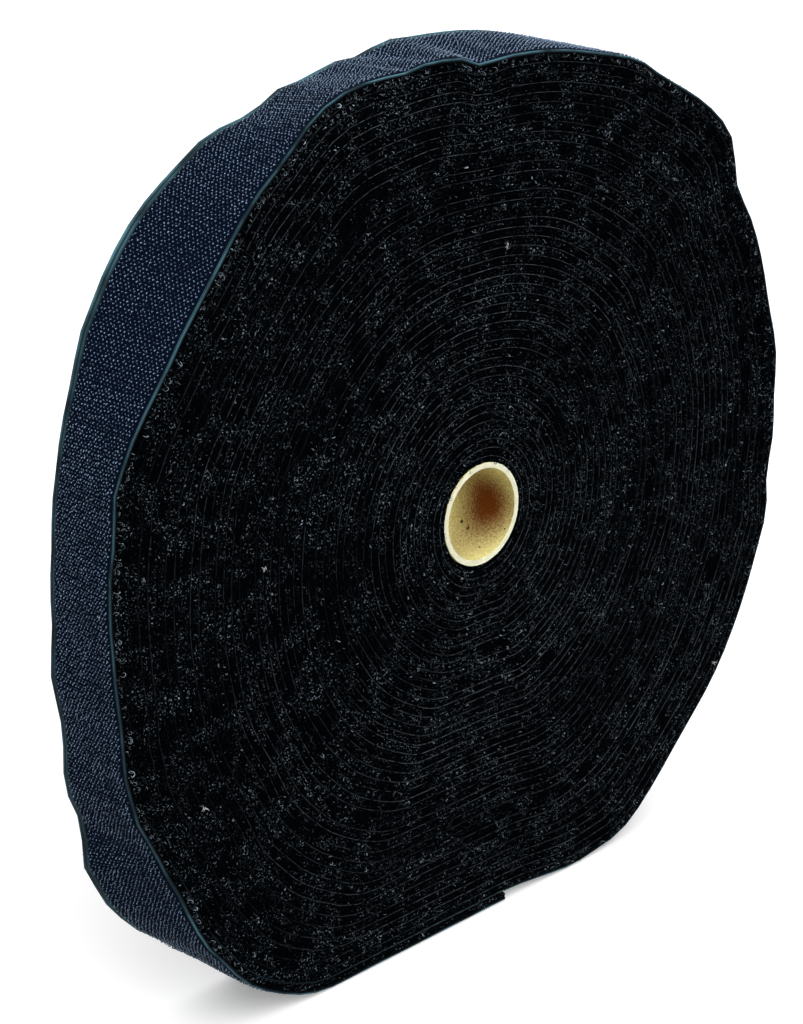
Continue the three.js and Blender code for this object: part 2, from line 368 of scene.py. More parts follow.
class Winding:
    """Where the wound tape lies. A layer counts turns out from the core, and a turn counts along the tape."""

    # The first turns climb over the tape's start in a ramp, a share of a turn, and later ones climb evenly
    even_from, ramp, lowest = 12, 0.25, -0.05
    # Sway fades out over these layers at the core and at the rim
    fade_in, fade_out = 6, 4

    def __init__(self, settings):
        tape, roll, core = settings.tape, settings.roll, settings.core
        hook_web = tape.hook_height + tape.hook_ground
        thickness = hook_web + tape.bond_film + tape.loop_web
        self.roll = roll
        self.half_width = tape.width / 2
        self.pitch = thickness + 2 * tape.bond_clearance + tape.turn_gap
        self.axis_height = roll.radius - roll.settled
        self.core_radius = core.bore / 2 + 3 * core.ply + 2 * core.ply_clearance
        self.first_radius = self.core_radius + core.gap - tape.turn_gap
        self.inner_turns = roll.turns - roll.true_turns
        self.inner_radius = roll.radius - roll.true_turns * self.pitch
        self.last_turn = roll.turns - 1
        self.ground_top = self.share(tape.hook_height)
        self.ground_base = self.share(hook_web)
        self.film_base = self.share(hook_web + tape.bond_film + 2 * tape.bond_clearance)

    def rise(self, rows, angle, y):
        """Rise of the outline, which eases from one row of angle, near and far rise to the next."""
        at, front, back = np.array(rows, float).T
        turned = at[0] + np.mod(angle - at[0], FULL_CIRCLE)
        i = np.searchsorted(at, turned, side="right") - 1
        j = (i + 1) % len(at)
        share = eased((turned - at[i]) / np.mod(at[j] - at[i], FULL_CIRCLE))
        across = y / (2 * self.half_width) + 0.5
        near = front[i] + (front[j] - front[i]) * share
        far = back[i] + (back[j] - back[i]) * share
        return near + (far - near) * across

    def missing(self, angle):
        """Share of a turn that is missing below an angle, because the tape has ended."""
        past = np.mod(angle - self.roll.end_angle, FULL_CIRCLE)
        gone = np.where(past < 1e-6, 0, 1 - past / FULL_CIRCLE)
        return gone * eased(past / self.roll.drop_arc)

    def filled(self, share):
        """Share of the winding that a share of the turns fills."""
        return (1 - self.roll.loosening) * share + self.roll.loosening * share * share

    def radius(self, layer, angle, y):
        """Radius of a layer on the round part of the roll."""
        rise = self.roll.lump_height * self.rise(LUMPS, angle, y)
        crease = MM * self.rise(CREASES, angle, y) * eased(1 + (layer - self.roll.turns) / CREASED_TURNS)
        share = np.clip(layer / self.inner_turns, 0, 1)
        inside = self.first_radius + (self.inner_radius - self.first_radius) * self.filled(share)
        outside = self.roll.radius - self.pitch * (self.roll.turns - layer)
        fade = share**self.roll.lump_fade
        return np.where(layer >= self.inner_turns, outside + rise, inside + rise * fade) + crease

    def height(self, layer):
        """Height of a layer over the floor on the flat bottom."""
        share = np.clip(layer / self.inner_turns, 0, 1)
        top = self.axis_height - self.first_radius
        lowest = self.pitch * self.roll.true_turns
        inside = top + (lowest - top) * self.filled(share)
        return np.where(layer >= self.inner_turns, self.pitch * (self.roll.turns - layer), inside)

    def sway(self, layer, angle):
        """Waves that run through a few layers together, in layers. They fade out at the core and the rim."""
        a = np.radians(angle)
        quick = waves(QUICK_SWAY, a, layer) * eased(layer / self.inner_turns)
        both = waves(SLOW_SWAY, a, layer) + quick
        return both * eased(layer / self.fade_in) * eased((self.inner_turns - layer) / self.fade_out)

    def point(self, layer, angle, y):
        """A point on a layer."""
        whole = np.clip(layer / self.inner_turns, 0, 1)
        moved = np.minimum(self.roll.turns, layer + self.missing(angle) * whole)
        moved = moved + self.sway(moved, angle)
        radius = self.radius(moved, angle, y)
        round_z = self.axis_height + radius * np.sin(np.radians(angle))
        flat_z = self.height(moved)
        ease = np.maximum(self.roll.flat_blend * moved / self.roll.turns, 1e-9)
        near = np.maximum(0, ease - np.abs(round_z - flat_z))
        z = np.maximum(round_z, flat_z) + near * near / (4 * ease)
        return np.stack([radius * np.cos(np.radians(angle)), y, z], -1)

    def angle(self, turn):
        """Angle at a place along the tape."""
        return self.roll.end_angle - FULL_CIRCLE * (self.last_turn - turn)

    def layer(self, turn):
        """Layer of the tape's inner face."""
        whole = np.floor(turn)
        part = turn - whole
        even = np.clip(whole / self.even_from, 0, 1)
        return whole + (1 - even) * eased((part - (1 - self.ramp)) / self.ramp) + even * part

    def sideways(self, turn):
        """How far a turn lies to one side. The outermost turn lies true."""
        return waves(DRIFT, 0, turn) * MM * eased(self.last_turn - 1 - turn)

    def place(self, turn, share, y):
        """A point in the tape: share 0 is its inner face, and 1 its outer face."""
        turn, share, y = np.broadcast_arrays(np.asarray(turn, float), share, y)
        shifted = y + self.sideways(turn)
        return self.point(np.maximum(self.layer(turn) + share, self.lowest), self.angle(turn), shifted)

    def share(self, depth):
        """Share of the tape's thickness at a depth below its outer face."""
        return 1 - depth / self.pitch

    def spread(self, share, first, last):
        """Places between two turns, for shares of the area that these turns cover in the roll's face."""
        core = self.inner_turns * self.first_radius / (self.inner_radius - self.first_radius)
        inner, outer = (first + core) ** 2, (last + core) ** 2
        return np.sqrt(inner + share * (outer - inner)) - core

    def even_shares(self, first, last, parts):
        """Turns that part the roll's face into rings of like area."""
        return self.spread(np.linspace(0, 1, parts + 1), first, last)

    def stretch(self, where):
        """Places along the tape at which a length of the outermost turn begins and ends."""
        first, last = LENGTHS[where]
        return self.last_turn - last, self.last_turn - first

    def turns_between(self, first, last):
        """Places along the tape for its sections."""
        return np.linspace(first, last, max(2, int(round((last - first) * self.roll.steps)) + 1))


def settings():
    """What the user has set."""
    return bpy.context.scene.tape_roll


def deselect():
    """Leaves nothing selected, so that an operator acts only on what it adds."""
    bpy.ops.object.select_all(action="DESELECT")


def mesh_piece(name, vertices, corners, face_sizes, materials, face_material=None):
    """A new object from vertices, the faces' corners in one list, and how many corners each face has."""
    mesh = bpy.data.meshes.new(name)
    mesh.vertices.add(len(vertices))
    mesh.vertices.foreach_set("co", np.asarray(vertices, np.float32).ravel())
    mesh.loops.add(len(corners))
    mesh.loops.foreach_set("vertex_index", np.asarray(corners, np.int32))
    mesh.polygons.add(len(face_sizes))
    starts = np.concatenate([[0], np.cumsum(face_sizes)[:-1]])
    mesh.polygons.foreach_set("loop_start", starts.astype(np.int32))
    for material in materials:
        mesh.materials.append(material)
    if face_material is not None:
        mesh.polygons.foreach_set("material_index", np.asarray(face_material, np.int32))
    mesh.polygons.foreach_set("use_smooth", np.ones(len(face_sizes), bool))
    mesh.update(calc_edges=True)
    piece = bpy.data.objects.new(name, mesh)
    bpy.context.scene.collection.objects.link(piece)
    return piece


def swept(name, winding, turns, profile, materials, face_material=None, rough=None, tone=None):
    """A closed strip along the tape. The profile is a ring of (share, y) corners, each with its tone, and
    rough moves the points sideways. One UV map runs along the tape and round the profile, in metres, and
    the other is for baking."""
    share, y = np.array(profile, float).T
    count, ring = len(turns), len(share)
    points = winding.place(turns[:, None], share[None, :], y[None, :])
    if rough is not None:
        points[..., 1] += rough
    i, j = np.meshgrid(np.arange(count - 1), np.arange(ring), indexing="ij")
    k = (j + 1) % ring
    quads = np.stack([i * ring + j, (i + 1) * ring + j, (i + 1) * ring + k, i * ring + k], -1).reshape(-1, 4)
    first, last = np.arange(ring), np.arange(ring)[::-1] + (count - 1) * ring
    corners = np.concatenate([quads.ravel(), first, last])
    sizes = np.concatenate([np.full(len(quads), 4), [ring, ring]])
    slots = None
    if face_material is not None:
        slots = np.concatenate([np.tile(face_material, count - 1), [0, 0]])
    piece = mesh_piece(name, points.reshape(-1, 3), corners, sizes, materials, slots)
    along = np.concatenate([[0], np.cumsum(np.linalg.norm(np.diff(points[:, 0], axis=0), axis=1))])
    step = np.hypot(np.diff(share, append=share[0]) * winding.pitch, np.diff(y, append=y[0]))
    round_ring = np.concatenate([[0], np.cumsum(step)])
    section, corner = np.stack([i, i + 1, i + 1, i], -1), np.stack([j, j, j + 1, j + 1], -1)
    lay_map(piece, "along_tape", np.stack([along[section], round_ring[corner]], -1))
    if along[-1] > 2 * math.pi * winding.roll.radius:
        baked = seen_flat(winding, points[section, corner % ring], section, corner)
    else:
        baked = in_rows(section, corner, along[-1], round_ring)
    lay_map(piece, BAKE_MAP, baked)
    piece.data.set_sharp_from_angle(angle=math.radians(50))
    if tone is not None:
        shade = piece.data.attributes.new("tone", "FLOAT", "POINT")
        shade.data.foreach_set("value", np.broadcast_to(tone, (count, ring)).astype(np.float32).ravel())
    return piece


def lay_map(piece, name, places):
    """Adds a UV map with a place for each corner of the faces, in order. End faces share the first place."""
    layer = piece.data.uv_layers.new(name=name)
    flat = np.zeros((len(layer.data), 2), np.float32)
    flat[:] = places.reshape(-1, 2)[0]
    flat[: places.size // 2] = places.reshape(-1, 2)
    layer.data.foreach_set("uv", flat.ravel())


def seen_flat(winding, points, section, corner):
    """A baking map for the long winding: what lies in the roll's faces is seen from the front, and the rest,
    which the next turn hides, shares a narrow band."""
    span, face_depth = 2.1 * winding.roll.radius, 0.7 * MM
    in_face = np.abs(points[..., 1]).min(-1) > winding.half_width - face_depth
    in_face &= np.abs(points[..., 1].sum(-1)) > winding.half_width
    front = np.stack([points[..., 0] / span + 0.5, PALETTE + (1 - PALETTE) * points[..., 2] / span], -1)
    band = np.stack([section / section.max(), PALETTE / 2 * (1 + corner / corner.max())], -1)
    return np.where(in_face[..., None, None], front, band)


def in_rows(section, corner, length_along, round_ring):
    """A baking map for a short length of tape: it is folded into rows that fill the map over the palette."""
    sections, row_share = section.max(), 0.98
    rows = max(1, round(math.sqrt(length_along / round_ring[-1])))
    row = section[..., :1] * rows // sections
    u = (section * rows / sections - row) / (1 + rows / sections)
    v = (row + row_share * round_ring[corner] / round_ring[-1]) / rows
    return np.stack([u, PALETTE + (1 - PALETTE) * v], -1)


def copies(name, template, spots, filament, fade=1, palette=1.0):
    """Copies of a small modelled shape in one mesh. Each spot has a place, an outward way, a lean, a size and
    a tone, and the template's Z points outward and its X along the lean. Tone fades towards the foot as
    painted shade, so that the top stays lightest. The baking map is a palette: tone runs along it, and each
    copy has its own narrow row."""
    foot_tone, golden, row_height, margin = 0.25, 0.618034, 0.012, 0.01
    mesh = template.data
    shape = np.array([v.co for v in mesh.vertices])
    faces = [list(p.vertices) for p in mesh.polygons]
    out = spots["out"] / np.linalg.norm(spots["out"], axis=1, keepdims=True)
    lean = spots["lean"] - out * np.sum(spots["lean"] * out, axis=1, keepdims=True)
    lean /= np.linalg.norm(lean, axis=1, keepdims=True)
    side = np.cross(out, lean)
    scaled = shape[None] * spots["size"][:, None, None]
    points = (
        spots["place"][:, None]
        + scaled[..., 0:1] * lean[:, None]
        + scaled[..., 1:2] * side[:, None]
        + scaled[..., 2:3] * out[:, None]
    )
    count = len(points)
    offsets = np.arange(count)[:, None] * len(shape)
    corners = (offsets + np.concatenate(faces)[None]).ravel()
    sizes = np.tile([len(f) for f in faces], count)
    piece = mesh_piece(name, points.reshape(-1, 3), corners, sizes, [filament])
    height = np.clip(shape[:, 2] / max(shape[:, 2].max(), 1e-9), 0, 1)
    tone = piece.data.attributes.new("tone", "FLOAT", "POINT")
    # Painted shade: each copy's tone darkens towards its foot
    shade = spots["tone"][:, None] * (foot_tone + (1 - foot_tone) * height[None]) ** fade
    tone.data.foreach_set("value", shade.astype(np.float32).ravel())
    row = np.mod(golden * np.arange(count), 1 - row_height / palette)[:, None]
    place_in_row = row_height / palette * (np.arange(len(shape)) % FILAMENT_SIDES) / FILAMENT_SIDES
    places = np.stack([margin + (1 - 2 * margin) * shade, palette * (row + place_in_row[None])], -1)
    lay_map(piece, BAKE_MAP, places.reshape(-1, 2)[corners])
    return piece


def join(pieces):
    """Joins pieces into the first."""
    deselect()
    for piece in pieces:
        piece.select_set(True)
    bpy.context.view_layer.objects.active = pieces[0]
    bpy.ops.object.join()
    return pieces[0]


def seat(piece, where, web=None):
    """Lets a piece ride on the roll; a length with a joint has only its transform applied, and rides on no
    body.
    If given its web, the nodes that it stands for are hidden.
    """
    if where in LENGTH_JOINTS:
        name, back = LENGTH_JOINTS[where]
        winding = Winding(settings())
        hinge = winding.last_turn - back
        start, end = winding.place(np.array([hinge + BEND_REACH, hinge - BEND_REACH]), 1.0, 0.0)
        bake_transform(piece)
    else:
        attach(piece, "roll")
    if web:
        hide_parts(*[f"{node}_{web}" for node in LENGTH_NODES[where]])
    return piece


# Materials

# Inputs of a Mix node that mixes colours
SHARE, FIRST, SECOND = 0, 6, 7


def node(tree, kind, inputs=(), out=None, **options):
    """Adds a node with its options, fills its inputs with values or with links from other sockets, and gives
    the output of this name, or else the first output in use."""
    made = tree.nodes.new(f"ShaderNode{kind}")
    for name, value in options.items():
        setattr(made, name, value)
    for socket, value in dict(inputs).items():
        if isinstance(value, bpy.types.NodeSocket):
            tree.links.new(value, made.inputs[socket])
        else:
            made.inputs[socket].default_value = value
    return made.outputs[out] if out else next(socket for socket in made.outputs if socket.enabled)


def finish(name, **sockets):
    """For the functions below, which add a finish's nodes and say what these feed in its shader. They become
    functions that give the material, made at the first call, with these values in its other sockets."""

    def from_nodes(add_nodes):
        def material():
            made = bpy.data.materials.get(name)
            if made is None:
                made = bpy.data.materials.new(name)
                made.use_nodes = True
                tree = made.node_tree
                shader = tree.nodes["Principled BSDF"]
                for socket, value in sockets.items():
                    shader.inputs[socket.replace("_", " ")].default_value = value
                for socket, output in add_nodes(partial(node, tree), settings().colours).items():
                    tree.links.new(output, shader.inputs[socket])
            return made

        return material

    return from_nodes


def band_scale(spacing):
    """Scale at which a wave texture's bands are this far apart."""
    return math.pi / 10 / spacing


@finish("nylon hook filament", Roughness=0.4, Specular_IOR_Level=0.3)
def hook_filament(add, c):
    """Nylon monofilament, extruded and heat set, and smooth. Its tone paints a small dot of highlight on each
    crown and shade towards the foot.
    """
    tone = add("Attribute", out="Fac", attribute_name="tone")
    tones = {SHARE: tone, FIRST: c.hook_dark, SECOND: c.hook_painted_highlight}
    return {"Base Color": add("Mix", tones, data_type="RGBA")}


@finish("woven nylon hook ground", Roughness=0.8, Specular_IOR_Level=0.02)
def hook_ground(add, c):
    """Woven nylon ground under the hooks: warp and weft about 0.42 mm apart, in deep navy."""
    uv = add("UVMap", uv_map="along_tape")
    threads = {"Vector": uv, "Scale": band_scale(0.42 * MM)}
    warp, weft = (add("TexWave", threads, "Fac", bands_direction=way) for way in "XY")
    weave = add("Math", {0: warp, 1: weft}, operation="MULTIPLY")
    tones = {SHARE: weave, FIRST: c.ground_dark, SECOND: c.ground_light}
    relief = {"Height": weave, "Strength": 0.6, "Distance": 0.1 * MM}
    return {"Base Color": add("Mix", tones, data_type="RGBA"), "Normal": add("Bump", relief)}


@finish("woven nylon selvedge", Roughness=0.6, Specular_IOR_Level=0.06)
def selvedge_weave(add, c):
    """Selvedge of tightly woven nylon: threads cross it 0.5 mm apart, and it has a soft, uneven lustre."""
    tone = add("Attribute", out="Fac", attribute_name="tone")
    uv = add("UVMap", uv_map="along_tape")
    threads = {"Vector": uv, "Scale": band_scale(0.5 * MM), "Distortion": 0.5}
    picks = add("TexWave", threads, "Fac")
    lustre = add("TexNoise", {"Vector": uv, "Scale": 1 / (14 * MM), "Detail": 4.0})
    uneven = {"Value": lustre, "From Min": 0.4, "From Max": 0.62, "To Min": 0.15, "To Max": 1.2}
    level = add("MapRange", uneven)
    thread = add("MapRange", {"Value": picks, "To Min": 0.7, "To Max": 1.1})
    woven = add("Math", {0: thread, 1: level}, operation="MULTIPLY")
    lit = add("Math", {0: tone, 1: woven}, operation="MULTIPLY")
    tones = {SHARE: lit, FIRST: c.selvedge_dark, SECOND: c.selvedge_light}
    relief = {"Height": picks, "Strength": 0.4, "Distance": 0.06 * MM}
    return {"Base Color": add("Mix", tones, data_type="RGBA"), "Normal": add("Bump", relief)}


@finish("twisted nylon edge thread", Roughness=0.7, Specular_IOR_Level=0.0)
def edge_thread(add, c):
    """Twisted nylon binding thread at the web's edge. Its tone says how far the pile leaves it bare."""
    tone = add("Attribute", out="Fac", attribute_name="tone")
    place = add("TexCoord", out="Object")
    twist = add("TexNoise", {"Vector": place, "Scale": 1 / (1.2 * MM), "Detail": 3.0})
    bare = add("MapRange", {"Value": twist, "From Min": 0.36, "From Max": 0.62})
    shown = add("Math", {0: bare, 1: tone}, operation="MULTIPLY")
    tones = {SHARE: shown, FIRST: c.pile_dark, SECOND: c.thread}
    return {"Base Color": add("Mix", tones, data_type="RGBA")}


@finish("brushed nylon loop pile", Roughness=1.0, Specular_IOR_Level=0.0)
def loop_pile(add, c):
    """Brushed nylon loop pile: a tangle of fine black filaments that takes in nearly all light. Where short
    stretches of filament would turn their flank to the light, painted highlights are drawn as curled strokes
    wide enough to show."""
    place = add("TexCoord", out="Object")
    tangle, curled, broken, patch = (
        add("TexNoise", {"Vector": place, "Scale": 1 / (size * MM), "Detail": detail})
        for size, detail in ((0.6, 4.0), (0.8, 1.0), (0.5, 0.0), (5, 3.0))
    )
    stroke = add("Math", {0: curled, 1: 0.5, 2: 0.035}, operation="COMPARE")
    flank = add("MapRange", {"Value": broken, "From Min": 0.56, "From Max": 1.0})
    thick = add("MapRange", {"Value": patch, "From Min": 0.42, "From Max": 0.68})
    lit = add("Math", {0: flank, 1: thick}, operation="MULTIPLY")
    # Painted highlights, in patches, in the colour of lit fibres
    speck = add("Math", {0: lit, 1: stroke}, operation="MULTIPLY")
    tips = add("MapRange", {"Value": tangle, "From Min": 0.4, "From Max": 0.7})
    tones = {SHARE: tips, FIRST: c.pile_dark, SECOND: c.pile_light}
    base = add("Mix", tones, data_type="RGBA")
    tones = {SHARE: speck, FIRST: base, SECOND: c.fibre_painted_highlight}
    relief = {"Height": tangle, "Strength": 0.8, "Distance": 0.3 * MM}
    return {"Base Color": add("Mix", tones, data_type="RGBA"), "Normal": add("Bump", relief)}


@finish("loose nylon fibre", Roughness=0.6, Specular_IOR_Level=0.02)
def loose_fibre(add, c):
    """Single nylon filaments that stand out of the pile. Their tone says how much light each one catches."""
    tone = add("Attribute", out="Fac", attribute_name="tone")
    tones = {SHARE: tone, FIRST: c.pile_light, SECOND: c.fibre_painted_highlight}
    return {"Base Color": add("Mix", tones, data_type="RGBA")}


@finish("polyurethane bond film", Roughness=0.7, Specular_IOR_Level=0.03)
def bonding_film(add, c):
    """Polyurethane film that bonds the webs: smooth and dark."""
    place = add("TexCoord", out="Object")
    haze = add("TexNoise", {"Vector": place, "Scale": 1 / (3 * MM), "Detail": 2.0})
    tones = {SHARE: haze, FIRST: c.pile_dark, SECOND: c.ground_dark}
    return {"Base Color": add("Mix", tones, data_type="RGBA")}


@finish("kraft paperboard", Roughness=0.9, Specular_IOR_Level=0.2)
def core_board(add, c):
    """Spiral wound kraft paperboard: matte, mottled with fibre and smudged here and there. Painted shade
    browns its inner wall deep inside, and it stays pale towards its ends."""
    axis, radius = Winding(settings()).axis_height, settings().core.bore / 2
    place = add("TexCoord", out="Object")
    # Painted shade: the inner wall browns near a line through the tube along X, a little below its axis and
    # towards the open face, so most on its sides halfway in, and stays pale towards its ends
    middle = {"Vector": place, "Location": (0, 3 * MM, 2.5 * MM - axis), "Scale": (0, 1, 1)}
    from_middle = add("Mapping", middle)
    reach = add("VectorMath", {0: from_middle}, operation="LENGTH")
    mottle = add("TexNoise", {"Vector": place, "Scale": 1 / (0.5 * MM), "Detail": 5.0})
    uneven = add("Math", {0: mottle, 1: 9 * MM, 2: reach}, operation="MULTIPLY_ADD")
    limits = {"Value": uneven, "From Min": 20.5 * MM, "From Max": 7 * MM}
    painted_deep_shade = add("MapRange", limits, interpolation_type="SMOOTHSTEP")
    tones = {SHARE: painted_deep_shade, FIRST: c.board_wall, SECOND: c.board_painted_shade}
    wall = add("Mix", tones, data_type="RGBA")
    shade = add("MapRange", {"Value": mottle, "To Min": 0.72, "To Max": 1.15})
    tones = {SHARE: 1.0, FIRST: wall, SECOND: shade}
    board = add("Mix", tones, data_type="RGBA", blend_type="MULTIPLY")
    ragged = add("Math", {0: mottle, 1: 0.9 * MM}, operation="MULTIPLY")
    for angle, y, size in SMUDGES:
        a = math.radians(angle)
        spot = (radius * math.cos(a), y * MM, axis + radius * math.sin(a))
        far = add("VectorMath", {0: place, 1: spot}, operation="DISTANCE")
        torn = add("Math", {0: far, 1: ragged}, operation="ADD")
        limits = {"Value": torn, "From Min": (size + 0.65) * MM, "From Max": (size + 0.3) * MM}
        inside = add("MapRange", limits)
        tones = {SHARE: inside, FIRST: board, SECOND: linear("#2E1E10")}
        board = add("Mix", tones, data_type="RGBA")
    relief = {"Height": mottle, "Strength": 0.4, "Distance": 0.06 * MM}
    return {"Base Color": board, "Normal": add("Bump", relief)}


@finish("cut paperboard edge", Roughness=0.95, Specular_IOR_Level=0.15)
def cut_board(add, c):
    """Cut edge of the paperboard: pale, dry and slightly furry."""
    place = add("TexCoord", out="Object")
    grain = add("TexNoise", {"Vector": place, "Scale": 1 / (0.45 * MM), "Detail": 4.0})
    tones = {SHARE: grain, FIRST: linear("#F4F2CE"), SECOND: c.board_edge}
    relief = {"Height": grain, "Strength": 0.6, "Distance": 0.1 * MM}
    return {"Base Color": add("Mix", tones, data_type="RGBA"), "Normal": add("Bump", relief)}


@finish("gummed paper strip", Roughness=0.6, IOR=1.48)
def strip_paper(add, c):
    """Adhesive strip: thin cream paper with a tacky, uneven face."""
    place = add("TexCoord", out="Object")
    grain = add("TexNoise", {"Vector": place, "Scale": 1 / (1.5 * MM), "Detail": 3.0})
    tones = {SHARE: grain, FIRST: linear("#C9C1A0"), SECOND: linear("#DED8BC")}
    return {"Base Color": add("Mix", tones, data_type="RGBA")}


@finish("cotton lint", Roughness=1.0)
def white_lint(add, c):
    """Cotton lint: soft white fluff."""
    tone = add("Attribute", out="Fac", attribute_name="tone")
    tones = {SHARE: tone, FIRST: linear("#B9BABA"), SECOND: c.lint}
    return {"Base Color": add("Mix", tones, data_type="RGBA")}


def seen_by_camera(add):
    """The socket that is 1 for what the camera sees, straight, in a gloss or through glass, or else 0."""
    path = add("LightPath").node.outputs
    rays = {0: path["Is Camera Ray"], 1: path["Is Glossy Ray"]}
    seen = add("Math", rays, operation="MAXIMUM")
    return add("Math", {0: seen, 1: path["Is Transmission Ray"]}, operation="MAXIMUM")


@finish("white studio paper", Roughness=1.0, Specular_IOR_Level=0.0, Emission_Color=(1, 1, 1, 1))
def studio_paper(add, c):
    """Matte white paper under the roll. The camera sees it white, and it lights the roll as a grey would."""
    seen = seen_by_camera(add)
    tones = {SHARE: seen, FIRST: linear("#AAAAAA"), SECOND: linear("#F9F9F9")}
    return {
        "Base Color": add("Mix", tones, data_type="RGBA"),
        "Emission Strength": add("Math", {0: seen, 1: 0.25}, operation="MULTIPLY"),
    }


# Small shapes that are modelled once and copied


def bent_filament(name, wire, path, taper):
    """A filament modelled as by hand: a small disc, extruded along a path in X and Z and drawn in."""
    path = [(x * MM, z * MM) for x, z in path]
    deselect()
    bpy.ops.mesh.primitive_circle_add(
        vertices=FILAMENT_SIDES, radius=wire / 2, fill_type="NGON", location=(path[0][0], 0, path[0][1])
    )
    bpy.ops.object.transform_apply(location=True)
    made = bpy.context.object
    made.name = name
    bpy.ops.object.mode_set(mode="EDIT")
    bpy.ops.mesh.select_all(action="SELECT")
    for (x0, z0), (x1, z1) in zip(path, path[1:]):
        bpy.ops.mesh.extrude_region_move(TRANSFORM_OT_translate={"value": (x1 - x0, 0, z1 - z0)})
        bpy.ops.transform.resize(value=(taper, taper, taper), center_override=(x1, 0, z1))
    bpy.ops.object.mode_set(mode="OBJECT")
    turn_sections(made, path)
    bpy.ops.object.mode_set(mode="EDIT")
    bpy.ops.mesh.select_all(action="SELECT")
    bpy.ops.mesh.normals_make_consistent(inside=False)
    bpy.ops.object.mode_set(mode="OBJECT")
    return made


def turn_sections(made, path):
    """Turns each ring of a filament square to its path, so that it keeps its thickness in a bend."""
    ways = [Vector((b[0] - a[0], 0, b[1] - a[1])).normalized() for a, b in zip(path, path[1:])]
    for index, (x, z) in enumerate(path):
        before, after = ways[max(index - 1, 0)], ways[min(index, len(ways) - 1)]
        turn = Vector((0, 0, 1)).rotation_difference((before + after).normalized())
        centre = Vector((x, 0, z))
        for vertex in made.data.vertices[index * FILAMENT_SIDES : (index + 1) * FILAMENT_SIDES]:
            vertex.co = centre + turn @ (vertex.co - centre)


# Spots for the copies


def frames_at(winding, turn, share, y):
    """Places in the tape, with the ways along it and out of it."""
    step = 5e-4
    place = winding.place(turn, share, y)
    along = winding.place(turn + step, share, y) - winding.place(turn - step, share, y)
    along /= np.linalg.norm(along, axis=1, keepdims=True)
    return place, along, np.cross(ACROSS, along)


def hook_spots(winding, rng, first, last):
    """Hooks in rows across the tape. Every second row is shifted by half a step and leans the other way, and
    each row and each thread along the tape catches the light a little differently."""
    # Unevenness of the weave: along the tape in rows, across it in steps, and of lean, stand and size
    off_row, off_step, off_lean, off_stand, off_size = 0.12, 0.09, 0.35, 0.12, 0.1
    foot_depth, top_only, least_tone = 0.05 * MM, 6, 0.1
    tape = settings().tape
    field = 2 * winding.half_width - tape.selvedge - tape.far_selvedge
    middle = (tape.selvedge - tape.far_selvedge) / 2
    per_row = int(field / tape.hook_spacing)
    rows_per_turn = int(2 * math.pi * settings().roll.radius / tape.row_spacing)
    rows = np.arange(math.ceil(first * rows_per_turn), int(last * rows_per_turn))
    row, number = (grid.ravel() for grid in np.meshgrid(rows, np.arange(per_row), indexing="ij"))
    count = len(row)
    turn = winding.last_turn - (row + 0.5 + off_row * rng.standard_normal(count)) / rows_per_turn
    shifted = number - (per_row - 1) / 2 + 0.5 * (row % 2) - 0.25
    y = middle + (shifted + off_step * rng.standard_normal(count)) * tape.hook_spacing
    place, along, out = frames_at(winding, turn, winding.share(tape.hook_height + foot_depth), y)
    facing = np.where(row % 2 == 0, 1.0, -1.0)
    across = ACROSS * (off_lean * rng.standard_normal(count))[:, None]
    varied = {
        "row": rng.standard_normal(len(rows))[row - row[0]],
        "thread": rng.standard_normal(per_row)[number],
        "hook": rng.standard_normal(count),
        "lean": facing,
        "height": np.clip(np.sin(np.radians(winding.angle(turn))), 0, 1) ** top_only,
    }
    tone = HOOK_TONE["mean"] + sum(HOOK_TONE[cause] * amount for cause, amount in varied.items())
    return {
        "place": place,
        "out": out + off_stand * rng.standard_normal(place.shape),
        "lean": along * facing[:, None] + across,
        "size": 1 + off_size * rng.standard_normal(count),
        "tone": np.clip(tone, least_tone, 1),
    }


def fuzz_spots(winding, rng, count, first, last, face):
    """Fibres on one edge of the loop pile between two places along the tape. Few catch much light, and these
    lie in patches."""
    inset, off_edge, off_stand = 0.15 * MM, 0.1 * MM, 0.55
    size, off_size = 0.88, 0.32
    light, patch_light, few = 0.85, 0.17, 6
    turn = winding.spread(rng.uniform(0, 1, count), first, last)
    share = rng.uniform(-0.12, 0.5, count)
    patch = waves(PATCHES, np.radians(winding.angle(turn)), turn)
    y = face * (winding.half_width - inset + off_edge * rng.standard_normal(count))
    tone = rng.uniform(0, 1, count) ** few * (light + patch_light * patch)
    return {
        "place": winding.place(turn, share, y),
        "out": ACROSS * face + off_stand * rng.standard_normal((count, 3)),
        "lean": rng.standard_normal((count, 3)),
        "size": np.clip(size + off_size * rng.standard_normal(count), 0.3, 2.0),
        "tone": np.clip(tone, 0.0, 1.0),
    }


def curl_spots(winding, rng, count, face):
    """Long curls that hang out of the loop pile beside the outermost turn, towards the axis."""
    inset, sideways, inwards, off_stand, off_lean = 0.1 * MM, 0.5, 0.7, 0.55, 0.6
    turn = winding.last_turn - rng.uniform(0.12, 1.0, count)
    y = face * (winding.half_width - inset) * np.ones(count)
    place, along, out = frames_at(winding, turn, rng.uniform(0.1, 0.5, count), y)
    hanging = sideways * (ACROSS * face) - inwards * out
    return {
        "place": place,
        "out": hanging + off_stand * rng.standard_normal((count, 3)),
        "lean": along * rng.choice([-1.0, 1.0], (count, 1)) + off_lean * rng.standard_normal((count, 3)),
        "size": np.clip(rng.lognormal(-0.25, 0.4, count), 0.35, 1.7),
        "tone": rng.uniform(0.1, 0.75, count),
    }


